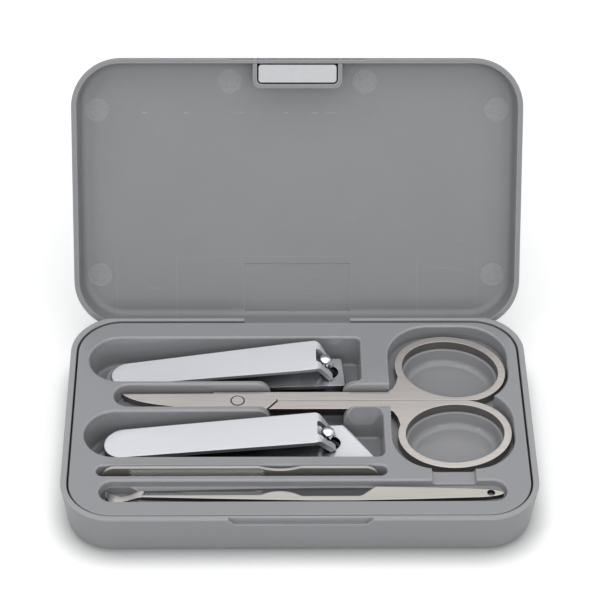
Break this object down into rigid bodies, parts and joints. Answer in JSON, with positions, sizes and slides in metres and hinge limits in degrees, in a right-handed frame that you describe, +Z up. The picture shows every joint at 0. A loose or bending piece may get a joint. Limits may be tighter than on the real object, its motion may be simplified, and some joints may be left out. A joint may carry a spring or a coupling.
{
  "type": "manicure set case",
  "caption": "Hinged pocket case, open, with a moulded tray of grooming tools: nail clippers, scissors, file and ear pick.",
  "frame": {"origin": "centre of the case's underside, on the face that it stands on", "axes": "+X along the case from the clippers' tails to the scissors' rings, +Y towards the hinge side (so -Y is the side that opens), +Z up"},
  "size_m": [0.1156, 0.1118, 0.0696],
  "materials": {
    "case_plastic": "satin grey",
    "tray_plastic": "semi-gloss grey",
    "magnet": "dull",
    "plate_steel": "satin",
    "pin_steel": "drawn wire",
    "polished_steel": "polished",
    "satin_steel": "satin"
  },
  "bodies": {
    "case": {"base_shell": "case_plastic", "insert_tray": "tray_plastic", "tray_magnet": "magnet", "hinge_pin": "pin_steel"},
    "lid": {"lid_shell": "case_plastic", "lid_plate": "plate_steel"},
    "small_clipper": {"small_lower_arm": "polished_steel", "small_post": "polished_steel", "small_rivet": "polished_steel"},
    "small_clipper_arm": {"small_upper_arm": "polished_steel"},
    "small_clipper_lever": {"small_lever": "polished_steel"},
    "large_clipper": {"large_lower_arm": "polished_steel", "large_post": "polished_steel", "large_rivet": "polished_steel"},
    "large_clipper_arm": {"large_upper_arm": "polished_steel"},
    "large_clipper_lever": {"large_lever": "polished_steel"},
    "scissors_pivot": {"scissors_screw": "polished_steel"},
    "scissors_far_half": {"scissors_top_blade": "satin_steel"},
    "scissors_near_half": {"scissors_bottom_blade": "satin_steel"},
    "file": {"nail_file": "satin_steel"},
    "pick": {"ear_pick": "satin_steel"}
  },
  "joints": [
    {"name": "lid_hinge", "type": "hinge", "parent": "case", "child": "lid", "pos_m": [0, 0.03433, 0.0102], "axis": [-1, 0, 0], "range_deg": [-119.2, 0]},
    {"name": "small_clipper_lift", "type": "slide", "parent": "case", "child": "small_clipper", "axis": [0, 0, 1], "range_m": [0, 0.03]},
    {"name": "small_clipper_squeeze", "type": "hinge", "parent": "small_clipper", "child": "small_clipper_arm", "pos_m": [-0.04903, 0.02008, 0.0044], "axis": [0, 1, 0], "range_deg": [0, 1.04], "stiffness_Nm_per_rad": 3},
    {"name": "small_lever_tilt", "type": "hinge", "parent": "small_clipper", "child": "small_clipper_lever", "pos_m": [0.00687, 0.02008, 0.0124], "axis": [0, 1, 0], "range_deg": [0, 155]},
    {"name": "large_clipper_lift", "type": "slide", "parent": "case", "child": "large_clipper", "axis": [0, 0, 1], "range_m": [0, 0.03]},
    {"name": "large_clipper_squeeze", "type": "hinge", "parent": "large_clipper", "child": "large_clipper_arm", "pos_m": [-0.05028, -0.00628, 0.0047], "axis": [0, 1, 0], "range_deg": [0, 1], "stiffness_Nm_per_rad": 3},
    {"name": "large_lever_tilt", "type": "hinge", "parent": "large_clipper", "child": "large_clipper_lever", "pos_m": [0.00702, -0.00628, 0.01305], "axis": [0, 1, 0], "range_deg": [0, 155]},
    {"name": "scissors_lift", "type": "slide", "parent": "case", "child": "scissors_pivot", "axis": [0, 0, 1], "range_m": [0, 0.075]},
    {"name": "scissors_far_turn", "type": "hinge", "parent": "scissors_pivot", "child": "scissors_far_half", "pos_m": [-0.01527, 0.00705, 0.0095], "axis": [0, 0, 1], "range_deg": [0, 25]},
    {"name": "scissors_near_turn", "type": "hinge", "parent": "scissors_pivot", "child": "scissors_near_half", "pos_m": [-0.01527, 0.00705, 0.0095], "axis": [0, 0, -1], "range_deg": [0, 25]},
    {"name": "file_lift", "type": "slide", "parent": "case", "child": "file", "axis": [0, 0, 1], "range_m": [0, 0.03]},
    {"name": "pick_lift", "type": "slide", "parent": "case", "child": "pick", "axis": [0, 0, 1], "range_m": [0, 0.03]}
  ],
  "couplings": [
    {"joint": "scissors_far_turn", "follows": "scissors_lift", "rad_per_m": 5.8177},
    {"joint": "scissors_near_turn", "follows": "scissors_lift", "rad_per_m": 5.8177}
  ]
}
